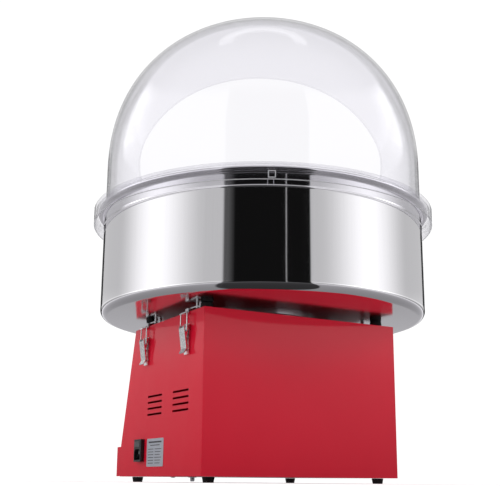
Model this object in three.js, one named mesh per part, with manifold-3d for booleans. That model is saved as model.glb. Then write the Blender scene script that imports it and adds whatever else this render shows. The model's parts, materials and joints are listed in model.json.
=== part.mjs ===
// Table-top cotton candy machine: a red sheet-metal cabinet with a sugar drawer, a belt-driven spinner head,
// a polished steel bowl held down by four draw latches, and a clear dome with an arched opening.
// Millimetres, +Z up. The origin is on the spindle's axis at floor level, and the operator stands at -Y.
import * as THREE from "three";
import { mergeVertices } from "three/addons/utils/BufferGeometryUtils.js";
import Module from "manifold-3d";

const wasm = await Module();
wasm.setup();

// ---------------------------------------------------------------- driving dimensions
const GAP = 0.3; // between touching pieces
const SHEET = 1.5;

// cabinet
const FOOT_HEIGHT = 8;
const CABINET = { halfWidth: 161, rear: 121, front: -166, frontTop: -120, slantZ: 55, top: 233 };
const BOTTOM = FOOT_HEIGHT;
const INSIDE_X = CABINET.halfWidth - SHEET - GAP;
const INSIDE_REAR = CABINET.rear - SHEET - GAP;
const SUPPORTS = { footX: 140, rearFoot: 100, frontFoot: -143, padX: 145.5, rearPad: 98, frontPad: -94 };
const VENT = { length: 52, width: 3, pitch: 8.9, rows: 4, topZ: 124.2, centres: [-38, 51.5] };

// bowl
const BOWL = {
  radius: 250, wall: 1.5, bottom: 243, corner: 11, hole: 22, beadZ: 383, rimBottom: 402.8, rimTop: 408.4,
};
const RIM = { radius: 256.2, roll: 2.8 };
const HUB_RING = { inner: 74, outer: 80 };

// dome
const DOME = { radius: 248.6, wall: 3, shoulderZ: 478.7, rise: 245.7, power: 2.2 };
const SKIRT = { radius: 266, bottom: 386.5, flangeUnder: 408.8, flangeTop: 411.8 };
const DRAWER_FRONT = 21; // how far the drawer stands out of the cabinet
const DOOR = { depth: 103, arcRadius: 140, arcTopZ: 593, turnDeg: -28.4 };

// drive
const SHAFT_R = 6;
const PULLEY = { bottom: 74, top: 90, grooveBottom: 78.6, grooveTop: 85.4, lip: 1.5, grooveDepth: 2.6 };
const SPINDLE_PITCH_R = 25;
const MOTOR_PITCH_R = 20;
const MOTOR = { x: 95, y: 10, radius: 32, bottom: 110, shaftR: 4 };
const BELT_HALF = 2.2;

// latches: the position along the side, and heights above the floor
const LATCH_Y = [-72.5, 70.5];
const PIVOT = { x: 6.2, z: 211 };
const BAIL_PIVOT = { x: 6.2, z: 204.5 };
const BAIL_TOP_Z = 231.2;
const WIRE_R = 1.1;
const CATCH = { bottom: 236, top: 237.5, halfWidth: 5 };

// inlet, on the right side panel
const INLET = { y: -84, halfWidth: 13, bottom: 29.5, top: 62.3, proud: 6 };

// ---------------------------------------------------------------- materials
const paint = new THREE.MeshStandardMaterial({ color: 0xc01828, roughness: 0.3, metalness: 0.1 });
const polishedSteel = new THREE.MeshStandardMaterial({ color: 0xd5d3d6, roughness: 0.12, metalness: 1 });
const platedSteel = new THREE.MeshStandardMaterial({ color: 0xb8b9bd, roughness: 0.3, metalness: 1 });
const clearPlastic = new THREE.MeshStandardMaterial({
  color: 0xf2f2f8, roughness: 0.05, transparent: true, opacity: 0.25,
});
const blackRubber = new THREE.MeshStandardMaterial({ color: 0x141415, roughness: 0.8 });
const blackPlastic = new THREE.MeshStandardMaterial({ color: 0x1b1b1d, roughness: 0.45 });
const greyPlastic = new THREE.MeshStandardMaterial({ color: 0x54555a, roughness: 0.5 });
const redPlastic = new THREE.MeshStandardMaterial({ color: 0xd0202a, roughness: 0.3 });
const castAluminium = new THREE.MeshStandardMaterial({ color: 0xa9abae, roughness: 0.45, metalness: 1 });
const copper = new THREE.MeshStandardMaterial({ color: 0xb87345, roughness: 0.35, metalness: 1 });

// ---------------------------------------------------------------- solids
function toSolid(geometry) {
  const bare = geometry.index ? geometry.toNonIndexed() : geometry.clone();
  bare.deleteAttribute("normal");
  bare.deleteAttribute("uv");
  const merged = mergeVertices(bare, 1e-4);
  return new wasm.Manifold(new wasm.Mesh({
    numProp: 3,
    vertProperties: merged.attributes.position.array,
    triVerts: new Uint32Array(merged.index.array),
  }));
}

function toGeometry(solid) {
  const made = solid.getMesh();
  const geometry = new THREE.BufferGeometry();
  geometry.setAttribute("position", new THREE.BufferAttribute(new Float32Array(made.vertProperties), 3));
  geometry.setIndex(new THREE.BufferAttribute(made.triVerts, 1));
  geometry.computeVertexNormals();
  return geometry;
}

const joined = (first, ...others) =>
  toGeometry(others.reduce((solid, g) => solid.add(toSolid(g)), toSolid(first)));
const cut = (first, ...tools) =>
  toGeometry(tools.reduce((solid, g) => solid.subtract(toSolid(g)), toSolid(first)));

function block([x0, x1], [y0, y1], [z0, z1]) {
  return new THREE.BoxGeometry(x1 - x0, y1 - y0, z1 - z0)
    .translate((x0 + x1) / 2, (y0 + y1) / 2, (z0 + z1) / 2);
}

// A cylinder or a cone about Z, from z0 to z1.
function disc(r0, [z0, z1], segments = 24, r1 = r0) {
  return new THREE.CylinderGeometry(r1, r0, z1 - z0, segments).rotateX(Math.PI / 2)
    .translate(0, 0, (z0 + z1) / 2);
}

// A closed [radius, z] outline turned about Z.
function turned(outline, segments) {
  const points = [...outline, outline[0]].map(([r, z]) => new THREE.Vector2(r, z));
  return new THREE.LatheGeometry(points, segments).rotateX(Math.PI / 2);
}

function ring(inner, outer, [z0, z1], segments = 24) {
  return turned([[inner, z0], [outer, z0], [outer, z1], [inner, z1]], segments);
}

// An outline in the plane of Y and Z, given thickness along X.
function sideProfile(points, [x0, x1]) {
  const shape = points instanceof THREE.Shape ? points
    : new THREE.Shape(points.map(([y, z]) => new THREE.Vector2(y, z)));
  return new THREE.ExtrudeGeometry(shape, { depth: x1 - x0, bevelEnabled: false, curveSegments: 8 })
    .rotateY(Math.PI / 2).rotateX(Math.PI / 2).translate(x0, 0, 0);
}

// An outline in the plane of X and Z, given thickness along Y.
function endProfile(points, [y0, y1]) {
  const shape = new THREE.Shape(points.map(([x, z]) => new THREE.Vector2(x, z)));
  return new THREE.ExtrudeGeometry(shape, { depth: y1 - y0, bevelEnabled: false })
    .rotateX(Math.PI / 2).translate(0, y1, 0);
}

// A round rod through points that lie in one plane, mitred at each of them. across is the plane's normal.
function rod(points, across, radius, sides = 8) {
  const knots = points.map((p) => new THREE.Vector3(...p));
  const positions = [];
  const faces = [];
  knots.forEach((knot, i) => {
    const before = knot.clone().sub(knots[i - 1] ?? knot).normalize();
    const after = (knots[i + 1] ?? knot).clone().sub(knot).normalize();
    const along = before.clone().add(after).normalize();
    const stretch = 1 / along.dot(i ? before : after);
    const mitre = along.clone().cross(across);
    for (let s = 0; s < sides; s++) {
      const a = ((s + 0.5) / sides) * 2 * Math.PI;
      const point = knot.clone().addScaledVector(across, radius * Math.cos(a))
        .addScaledVector(mitre, radius * Math.sin(a) * stretch);
      positions.push(point.x, point.y, point.z);
    }
  });
  const last = (knots.length - 1) * sides;
  for (let at = 0; at < last; at += sides) {
    for (let s = 0; s < sides; s++) {
      const next = (s + 1) % sides;
      faces.push(at + s, at + next, at + sides + s);
      faces.push(at + next, at + sides + next, at + sides + s);
    }
  }
  for (let s = 1; s < sides - 1; s++) faces.push(0, s + 1, s, last, last + s, last + s + 1);
  const geometry = new THREE.BufferGeometry();
  geometry.setAttribute("position", new THREE.Float32BufferAttribute(positions, 3));
  geometry.setIndex(faces);
  geometry.computeVertexNormals();
  return geometry;
}

// The points of a path with each corner replaced by a short arc of three points.
function rounded(points, reach) {
  const towards = (p, q) => {
    const d = q.map((v, i) => v - p[i]);
    const length = Math.hypot(...d);
    return p.map((v, i) => v + (d[i] / length) * reach);
  };
  return points.flatMap((p, i) => {
    if (i === 0 || i === points.length - 1) return [p];
    const [before, after] = [towards(p, points[i - 1]), towards(p, points[i + 1])];
    return [before, p.map((v, k) => v * 0.6 + (before[k] + after[k]) * 0.2), after];
  });
}

const machine = new THREE.Group();

function piece(name, geometry, material, parent = machine) {
  const mesh = new THREE.Mesh(geometry, material);
  mesh.name = name;
  parent.add(mesh);
  return mesh;
}

// ---------------------------------------------------------------- cabinet
function sidePanel(name, x0, withInlet) {
  const { rear, front, frontTop, slantZ, top } = CABINET;
  const edge = rear - SHEET - GAP;
  const outline = [[edge, BOTTOM], [edge, top], [frontTop, top], [front, slantZ], [front, BOTTOM]];
  const holes = [];
  for (const centre of VENT.centres) {
    for (let row = 0; row < VENT.rows; row++) {
      const z = VENT.topZ - row * VENT.pitch;
      holes.push(block(
        [x0 - 1, x0 + SHEET + 1],
        [centre - VENT.length / 2, centre + VENT.length / 2],
        [z - VENT.width / 2, z + VENT.width / 2],
      ));
    }
  }
  if (withInlet) {
    holes.push(block(
      [x0 - 1, x0 + SHEET + 1],
      [INLET.y - INLET.halfWidth + 1.5, INLET.y + INLET.halfWidth - 1.5],
      [INLET.bottom + 1.5, INLET.top - 1.5],
    ));
  }
  piece(name, cut(sideProfile(outline, [x0, x0 + SHEET]), ...holes), paint);
}

function cabinet() {
  const { halfWidth, rear, front, frontTop, top } = CABINET;
  sidePanel("right_side_panel", halfWidth - SHEET, true);
  sidePanel("left_side_panel", -halfWidth, false);
  piece("rear_panel", block([-halfWidth, halfWidth], [rear - SHEET, rear], [BOTTOM, top]), paint);
  piece("top_deck", cut(
    block([-INSIDE_X, INSIDE_X], [frontTop, INSIDE_REAR], [top - SHEET, top]),
    disc(14, [top - 5, top + 5]),
  ), paint);
  const flange = 14;
  const plate = block([-INSIDE_X, INSIDE_X], [front + 1, INSIDE_REAR], [BOTTOM, BOTTOM + SHEET]);
  const flanges = [
    block([-INSIDE_X, -INSIDE_X + SHEET], [front + 20, INSIDE_REAR], [BOTTOM, BOTTOM + flange]),
    block([INSIDE_X - SHEET, INSIDE_X], [front + 20, INSIDE_REAR], [BOTTOM, BOTTOM + flange]),
    block([-INSIDE_X, INSIDE_X], [INSIDE_REAR - SHEET, INSIDE_REAR], [BOTTOM, BOTTOM + flange]),
  ];
  piece("base_pan", joined(plate, ...flanges), paint);
}

// Feet below and the pads that carry the bowl above, one of each near every corner.
function feetAndPads() {
  for (const [side, sx] of [["left", -1], ["right", 1]]) {
    for (const [end, footY, padY] of [
      ["front", SUPPORTS.frontFoot, SUPPORTS.frontPad], ["rear", SUPPORTS.rearFoot, SUPPORTS.rearPad],
    ]) {
      const foot = piece(`foot_${end}_${side}`, disc(7.2, [0, FOOT_HEIGHT - GAP], 16, 8.6), blackRubber);
      foot.position.set(sx * SUPPORTS.footX, footY, 0);
      const span = [CABINET.top + GAP, BOWL.bottom - GAP];
      const pad = piece(`bowl_pad_${end}_${side}`, disc(9, span, 16), blackRubber);
      pad.position.set(sx * SUPPORTS.padX, padY, 0);
    }
  }
}

// ---------------------------------------------------------------- control panel
// Its own frame has X across, Y up the slope and Z outward, with the origin at the middle of its bottom edge.
const PANEL_TILT = Math.atan2(CABINET.frontTop - CABINET.front, CABINET.top - CABINET.slantZ);
const PANEL = { length: 181.5, meterV: 118, switchX: 82, switchV: 118, knobV: 52 };
const METER = { halfWidth: 30, halfHeight: 25, proud: 8, pivotV: 102 };
const SWITCH = { halfWidth: 11, halfHeight: 15 };

function controlPanel() {
  const panel = new THREE.Group();
  panel.position.set(0, CABINET.front, CABINET.slantZ);
  panel.rotation.x = Math.PI / 2 - PANEL_TILT;
  machine.add(panel);

  const through = [-SHEET - 1, 1];
  const holes = [
    disc(20.6, through, 24).translate(0, PANEL.meterV, 0),
    disc(4, through).translate(0, PANEL.knobV, 0),
    ...[-1, 1].map((s) => block(
      [s * PANEL.switchX - 9.6, s * PANEL.switchX + 9.6],
      [PANEL.switchV - 13.6, PANEL.switchV + 13.6],
      through,
    )),
  ];
  piece("front_panel",
    cut(block([-INSIDE_X, INSIDE_X], [0.5, PANEL.length], [-SHEET, 0]), ...holes), paint, panel);
  voltmeter(panel);
  rockerSwitch("power", -PANEL.switchX, panel);
  rockerSwitch("heat", PANEL.switchX, panel);
  heatControl(panel);
}

function voltmeter(panel) {
  const { halfWidth: w, halfHeight: h, proud, pivotV } = METER;
  const v = PANEL.meterV;
  const bezel = block([-w, w], [v - h, v + h], [GAP, proud]);
  const barrel = disc(20, [-26, 2], 24).translate(0, v, 0);
  const recess = block([-w + 3, w - 3], [v - h + 3, v + h - 3], [2, proud + 1]);
  piece("voltmeter_case", cut(joined(bezel, barrel), recess), blackPlastic, panel);
  piece("voltmeter_window",
    block([-w + 3 + GAP, w - 3 - GAP], [v - h + 3 + GAP, v + h - 3 - GAP], [proud - 1.8, proud - 0.3]),
    clearPlastic, panel);
  const blade = block([-0.5, 0.5], [-5, 26], [3, 3.8]);
  const boss = disc(2.5, [2.5, 4.5], 12);
  const needle = piece("voltmeter_needle", joined(blade, boss), blackPlastic, panel);
  needle.position.set(0, pivotV, 0);
  needle.rotation.z = Math.PI / 4; // at zero volts, on the left of the scale
}

function rockerSwitch(name, x, panel) {
  const { halfWidth: w, halfHeight: h } = SWITCH;
  const v = PANEL.switchV;
  const bezel = block([x - w, x + w], [v - h, v + h], [GAP, 2.3]);
  const body = block([x - w + 2, x + w - 2], [v - h + 2, v + h - 2], [-20, 1]);
  const well = block([x - 8, x + 8], [v - 12.6, v + 12.6], [-9, 4]);
  piece(`${name}_switch_case`, cut(joined(bezel, body), well), blackPlastic, panel);
  // The rocker's two faces meet in a shallow valley, and it rests tipped to "off".
  const outline = [[-11.4, -3], [11.4, -3], [11.4, 4.6], [6, 3.4], [0, 2.6], [-6, 3.4], [-11.4, 4.6]];
  const rocker = piece(`${name}_rocker`, sideProfile(outline, [-7.5, 7.5]), redPlastic, panel);
  rocker.position.set(x, v, 0);
  rocker.rotation.x = THREE.MathUtils.degToRad(10);
}

function heatControl(panel) {
  const body = joined(disc(12, [-20, -SHEET - GAP], 16), disc(3, [-5, 10], 12)).translate(0, PANEL.knobV, 0);
  piece("heat_control", body, platedSteel, panel);
  const grip = joined(disc(15, [0.8, 17], 20, 12.5), block([-1.6, 1.6], [2, 14.2], [10, 18.2]));
  const knob = piece("heat_knob", cut(grip, disc(3.4, [0, 11], 12)), blackPlastic, panel);
  knob.position.set(0, PANEL.knobV, 0);
  knob.rotation.z = THREE.MathUtils.degToRad(135);
}

// ---------------------------------------------------------------- mains inlet
function inlet() {
  const { y, halfWidth, bottom, top, proud } = INLET;
  const face = CABINET.halfWidth + proud;
  const flange = block([CABINET.halfWidth + GAP, face], [y - halfWidth, y + halfWidth], [bottom, top]);
  const body = block([145.5, CABINET.halfWidth + 1], [y - 11.5, y + 11.5], [bottom + 2, top - 2]);
  const corner = 4;
  const [s0, s1] = [bottom + 2.6, bottom + 18.6];
  const socket = sideProfile([
    [y - 11, s0], [y + 11, s0], [y + 11, s1 - corner], [y + 11 - corner, s1],
    [y - 11 + corner, s1], [y - 11, s1 - corner],
  ], [face - 16, face + 1]);
  const fuseBay = block([face - 19.5, face + 1], [y - 10, y + 10], [top - 11.4, top - 2.6]);
  piece("inlet_housing", cut(joined(flange, body), socket, fuseBay), blackPlastic);
  const drawer = block([face - 19, face + 0.6], [y - 9.6, y + 9.6], [top - 11, top - 3]);
  const fuseSlot = block([face - 18, face - 3], [y - 7, y + 7], [top - 8.6, top]);
  piece("fuse_drawer", cut(drawer, fuseSlot), greyPlastic);
}

// ---------------------------------------------------------------- sugar drawer
function drawer() {
  const { halfWidth, front, slantZ } = CABINET;
  const tray = cut(
    block([-138, 138], [front - 1.5, 60], [13, 47]),
    block([-136.8, 136.8], [front, 58.8], [14.2, 50]),
  );
  const [faceX, faceY] = [halfWidth - 2.5, front - DRAWER_FRONT];
  const frontBox = cut(
    block([-faceX, faceX], [faceY, front - GAP], [BOTTOM + 0.5, slantZ - 1]),
    block([SHEET - faceX, faceX - SHEET], [faceY + SHEET, front - SHEET], [BOTTOM - 1, slantZ - 1 - SHEET]),
  );
  piece("drawer_box", joined(tray, frontBox), paint);
  const face = faceY - GAP;
  const grip = [[-42, face, 31], [-42, face - 24, 31], [42, face - 24, 31], [42, face, 31]];
  piece("drawer_handle", rod(rounded(grip, 8), new THREE.Vector3(0, 0, 1), 4, 10), platedSteel);
  const bay = cut(
    block([-143.5, 143.5], [front + 8, 72], [BOTTOM + SHEET + GAP, 51.5]),
    block([-142, 142], [front, 80], [BOTTOM, 50]),
  );
  piece("drawer_bay", bay, platedSteel);
}

// ---------------------------------------------------------------- drive
function pulleyRim(pitchR) {
  const outer = pitchR + PULLEY.lip;
  const floor = pitchR - PULLEY.grooveDepth;
  return [
    [outer, PULLEY.bottom], [outer, PULLEY.grooveBottom], [floor, PULLEY.grooveBottom],
    [floor, PULLEY.grooveTop], [outer, PULLEY.grooveTop], [outer, PULLEY.top],
  ];
}

// The outline of an open belt round the two pulleys, offset outward from its pitch line.
function beltOutline(offset, target) {
  const distance = Math.hypot(MOTOR.x, MOTOR.y);
  const heading = Math.atan2(MOTOR.y, MOTOR.x);
  const spread = Math.acos((SPINDLE_PITCH_R - MOTOR_PITCH_R) / distance);
  target.absarc(0, 0, SPINDLE_PITCH_R + offset, heading + spread, heading - spread + 2 * Math.PI, false);
  target.absarc(MOTOR.x, MOTOR.y, MOTOR_PITCH_R + offset, heading - spread, heading + spread, false);
  target.closePath();
  return target;
}

function drive() {
  const { top } = CABINET;
  const under = top - SHEET - GAP;
  const nut = disc(10, [287, 295], 6);
  piece("spindle_shaft", joined(disc(SHAFT_R, [66, 302], 16), nut), platedSteel);
  const bore = SHAFT_R + GAP;
  const spindlePulley = [[bore, PULLEY.bottom], ...pulleyRim(SPINDLE_PITCH_R), [bore, PULLEY.top]];
  piece("spindle_pulley", turned(spindlePulley, 24), castAluminium);
  piece("slip_rings", turned([
    [bore, 118], [24, 118], [24, 128], [20, 128], [20, 136], [24, 136], [24, 146], [bore, 146],
  ], 20), copper);
  piece("spindle_housing", turned([
    [12, 176], [16, 176], [16, 166], [24, 166], [24, 226], [44, 226], [44, under],
    [16, under], [16, 220], [12, 220],
  ], 24), castAluminium);
  piece("upper_bearing", ring(bore, 15.7, [220.4, 229.4], 16), platedSteel);
  piece("lower_bearing", ring(bore, 15.7, [166.4, 175.6], 16), platedSteel);
  piece("brush_holder", joined(
    block([-62, -24.6], [-11, 11], [120, 144]),
    block([-62, -58], [-11, 11], [120, under]),
    block([-62, -46], [-11, 11], [under - 3, under]),
  ), blackPlastic);

  const motor = new THREE.Group();
  motor.position.set(MOTOR.x, MOTOR.y, 0);
  machine.add(motor);
  piece("motor_body", turned([
    [5, MOTOR.bottom], [12, MOTOR.bottom], [12, 116], [28, 120], [MOTOR.radius, 124],
    [MOTOR.radius, 206], [28, 210], [28, under], [0, under], [0, 140], [5, 140],
  ], 20), greyPlastic, motor);
  const rotorPulley = turned([[0, PULLEY.bottom], ...pulleyRim(MOTOR_PITCH_R), [0, PULLEY.top]], 20);
  piece("motor_rotor", joined(rotorPulley, disc(MOTOR.shaftR, [70, 138], 12)), castAluminium, motor);

  const beltShape = beltOutline(BELT_HALF, new THREE.Shape());
  beltShape.holes.push(beltOutline(-BELT_HALF, new THREE.Path()));
  const belt = new THREE.ExtrudeGeometry(beltShape, { depth: 6, bevelEnabled: false, curveSegments: 9 });
  piece("drive_belt", belt.translate(0, 0, 79), blackRubber);
}

// ---------------------------------------------------------------- spinner head
const HEAD = { radius: 66, bottom: 262, bandTop: 302, mouth: 30 };

function spinnerHead() {
  const { radius, bottom, bandTop, mouth } = HEAD;
  const bore = SHAFT_R + GAP;
  piece("head_base", turned([
    [bore, bottom], [radius, bottom], [radius, bottom + 10], [radius - 1.6, bottom + 10],
    [radius - 1.6, bottom + 3], [12, bottom + 3], [12, 286.5], [bore, 286.5],
  ], 32), castAluminium);

  const posts = [0, 1, 2].map((i) => {
    const a = (i / 3) * 2 * Math.PI;
    return disc(2.4, [bottom + 3 + GAP, bottom + 20], 6).translate(50 * Math.cos(a), 50 * Math.sin(a), 0);
  });
  const element = new THREE.TorusGeometry(50, 3.6, 6, 24).translate(0, 0, bottom + 22);
  piece("heater_ring", joined(element, ...posts), copper);

  const foot = bottom + 10 + GAP;
  const shell = turned([
    [radius - 1.6, foot], [radius, foot], [radius, bandTop], [mouth + 1, 314], [mouth, 314],
    [mouth, 300], [mouth + 1.6, 300], [mouth + 1.6, 311.6], [radius - 1.6, bandTop - 1],
  ], 32);
  const slotCount = 16;
  const slots = [...Array(slotCount).keys()].map((i) => (
    block([radius - 6, radius + 4], [-1.5, 1.5], [foot + 5, bandTop - 6])
      .rotateZ(((i + 0.5) / slotCount) * 2 * Math.PI)
  ));
  piece("head_cap", cut(shell, ...slots), castAluminium);
}

// ---------------------------------------------------------------- bowl
function bowl() {
  const { radius, wall, bottom, corner, hole, beadZ, rimBottom, rimTop } = BOWL;
  const arc = (centreR, centreZ, r, from, to, steps) => [...Array(steps + 1).keys()].map((i) => {
    const a = THREE.MathUtils.degToRad(from + ((to - from) * i) / steps);
    return [centreR + r * Math.cos(a), centreZ + r * Math.sin(a)];
  });
  const inner = radius - wall;
  const rollZ = (rimBottom + rimTop) / 2;
  piece("bowl_pan", turned([
    [hole, bottom],
    ...arc(radius - corner, bottom + corner, corner, -90, 0, 3),
    [radius, beadZ], [radius + 1.2, beadZ + 2], [radius, beadZ + 4],
    [radius, rimBottom - 2],
    ...arc(RIM.radius, rollZ, RIM.roll, -135, 90, 4),
    [inner + 2, rimTop], [inner, rimBottom - 1],
    ...arc(inner - corner + wall, bottom + corner, corner - wall, 0, -90, 3),
    [hole, bottom + wall],
  ], 40), polishedSteel);
  const hubRing = ring(HUB_RING.inner, HUB_RING.outer, [CABINET.top + GAP, bottom - GAP], 24);
  piece("bowl_hub_ring", hubRing, polishedSteel);
}

// ---------------------------------------------------------------- latches
// In a latch's own frame X points out of the cabinet's side and Y along it, with X at 0 on the panel's face.
function latchBase() {
  const plate = block([GAP, 1.5], [-7.6, 7.6], [173, 215]);
  const ear = [[1, 205.5], [6, 207.8], [8.4, 209.2], [9, 211], [8.4, 212.8], [1, 214.6]];
  const pin = disc(1.5, [-9.3, 9.3], 8).rotateX(Math.PI / 2).translate(PIVOT.x, 0, PIVOT.z);
  return joined(plate, endProfile(ear, [-6.8, -5.4]), endProfile(ear, [5.4, 6.8]), pin);
}

// The lever is a plate that leans in towards its tip, with a cheek down each side.
function latchLever() {
  const cheek = [
    [10, 209.2], [8.8, 213.4], [5, 213.8], [3.6, 211], [3.8, 203], [6, 197], [3.8, 180.4], [5.8, 180.4],
  ];
  const plate = [[8.9, 209.2], [10, 209.2], [5.9, 180.6], [8.8, 174.4], [7.9, 173.8], [4.8, 180.3]];
  const body = joined(
    endProfile(cheek, [-8.6, -7.2]), endProfile(cheek, [7.2, 8.6]), endProfile(plate, [-8.6, 8.6]),
  );
  const hole = (r, { x, z }) => disc(r, [-12, 12], 8).rotateX(Math.PI / 2).translate(x, 0, z);
  return cut(body, hole(1.9, PIVOT), hole(1.5, BAIL_PIVOT));
}

function latchBail() {
  const { x, z } = BAIL_PIVOT;
  const path = [
    [x, -6.9, z], [x, -10.8, z], [x, -10, BAIL_TOP_Z], [x, 10, BAIL_TOP_Z], [x, 10.8, z], [x, 6.9, z],
  ];
  return rod(rounded(path, 1.8), new THREE.Vector3(1, 0, 0), WIRE_R);
}

// The catch hangs from the bowl's underside on two spacers, and the bail's crossbar lies on its tab.
// A narrow arm with the fixing screw runs along the side from it, towards arm * Y.
function latchCatch(arm) {
  const { bottom, top, halfWidth } = CATCH;
  const ceiling = BOWL.bottom - GAP;
  const tabTop = BAIL_TOP_Z - WIRE_R + 0.1;
  const section = [
    [0.6, tabTop - 1.5], [11, tabTop - 2.3], [11, tabTop - 0.8], [2.1, tabTop],
    [2.1, top], [-2, top], [-2, bottom], [0.6, bottom],
  ];
  const plate = block([-24, 0], [-halfWidth, halfWidth], [bottom, top]);
  const rearSpacer = disc(3, [top - 0.5, ceiling], 12).translate(-20, 0, 0);
  const strip = block([-5.8, 0], [-1, 27], [bottom, top]);
  const screw = joined(disc(2.6, [bottom - 1.4, top], 12), disc(2, [top - 0.5, ceiling], 12))
    .translate(-3, 23, 0);
  const turn = arm > 0 ? 0 : Math.PI;
  const side = joined(strip, screw).translate(3, 0, 0).rotateZ(turn).translate(-3, 0, 0);
  return joined(endProfile(section, [-halfWidth, halfWidth]), plate, rearSpacer, side);
}

function latches() {
  for (const [side, turn] of [["right", 0], ["left", Math.PI]]) {
    LATCH_Y.forEach((y, i) => {
      const end = i ? "rear" : "front";
      const latch = new THREE.Group();
      latch.position.set(CABINET.halfWidth * (turn ? -1 : 1), y, 0);
      latch.rotation.z = turn;
      machine.add(latch);
      piece(`latch_base_${end}_${side}`, latchBase(), platedSteel, latch);
      piece(`latch_lever_${end}_${side}`, latchLever(), platedSteel, latch);
      piece(`latch_bail_${end}_${side}`, latchBail(), platedSteel, latch);
      piece(`latch_catch_${end}_${side}`, latchCatch(turn ? -1 : 1), platedSteel, latch);
    });
  }
}

// ---------------------------------------------------------------- dome
function dome() {
  const { radius, wall, shoulderZ, rise, power } = DOME;
  const crown = (inset, steps) => [...Array(steps).keys()].map((i) => {
    const t = ((i + 1) / steps) * (Math.PI / 2);
    const at = (v) => Math.max(v, 0) ** (2 / power);
    return [(radius - inset) * at(Math.cos(t)), shoulderZ + (rise - inset) * at(Math.sin(t))];
  });
  const steps = 8;
  const closed = (points) => points.map(([r, z], i) => (i === points.length - 1 ? [0, z] : [r, z]));
  const { radius: skirtR, bottom, flangeUnder, flangeTop } = SKIRT;
  const shell = turned([
    [skirtR - wall, bottom], [skirtR, bottom], [skirtR, flangeTop - 2.5], [skirtR - 2.5, flangeTop],
    [radius + 3, flangeTop], [radius, flangeTop + 4], [radius, shoulderZ],
    ...closed(crown(0, steps)),
    ...closed(crown(wall, steps)).reverse(),
    [radius - wall, shoulderZ], [radius - wall, flangeUnder], [skirtR - wall, flangeUnder],
  ], 40);
  // The opening is a flat slice down the front that sweeps forward in an arc above the flange.
  const { depth, arcRadius, arcTopZ, turnDeg } = DOOR;
  const opening = new THREE.Shape();
  opening.moveTo(-400, 800);
  opening.lineTo(-400, arcTopZ - arcRadius);
  opening.lineTo(-depth - arcRadius, arcTopZ - arcRadius);
  opening.absarc(-depth - arcRadius, arcTopZ, arcRadius, -Math.PI / 2, 0, false);
  opening.lineTo(-depth, 800);
  const slice = sideProfile(opening, [-300, 300]).rotateZ(THREE.MathUtils.degToRad(turnDeg));
  piece("dome", cut(shell, slice), clearPlastic);
}

cabinet();
feetAndPads();
controlPanel();
inlet();
drawer();
drive();
spinnerHead();
bowl();
latches();
dome();

export default machine;
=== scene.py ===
"""A table-top cotton candy machine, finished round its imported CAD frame.

Lengths are millimetres until a mesh is made."""
import json
import math

import bpy
from mathutils import Matrix, Vector


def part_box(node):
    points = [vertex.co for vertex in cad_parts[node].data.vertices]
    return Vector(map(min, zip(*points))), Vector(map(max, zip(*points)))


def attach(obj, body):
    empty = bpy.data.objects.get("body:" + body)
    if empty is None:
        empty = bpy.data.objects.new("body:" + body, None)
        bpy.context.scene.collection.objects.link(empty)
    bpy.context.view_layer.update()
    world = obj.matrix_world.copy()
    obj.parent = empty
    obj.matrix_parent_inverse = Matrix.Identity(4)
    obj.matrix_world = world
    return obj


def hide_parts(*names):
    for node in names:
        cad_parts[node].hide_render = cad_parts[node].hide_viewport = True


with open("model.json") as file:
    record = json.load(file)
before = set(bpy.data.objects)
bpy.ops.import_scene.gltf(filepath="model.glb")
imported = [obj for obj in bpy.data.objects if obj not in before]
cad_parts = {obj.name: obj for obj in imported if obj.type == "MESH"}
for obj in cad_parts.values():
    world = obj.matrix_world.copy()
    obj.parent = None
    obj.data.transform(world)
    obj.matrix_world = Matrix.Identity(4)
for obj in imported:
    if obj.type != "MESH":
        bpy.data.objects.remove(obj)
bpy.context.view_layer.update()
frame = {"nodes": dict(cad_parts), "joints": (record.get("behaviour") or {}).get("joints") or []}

MM = 0.001
JOINTS = {joint["name"]: joint for joint in frame["joints"]}


def span(node):
    """A CAD node's lowest and highest corner, in millimetres."""
    low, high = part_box(node)
    return Vector(low) / MM, Vector(high) / MM


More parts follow.
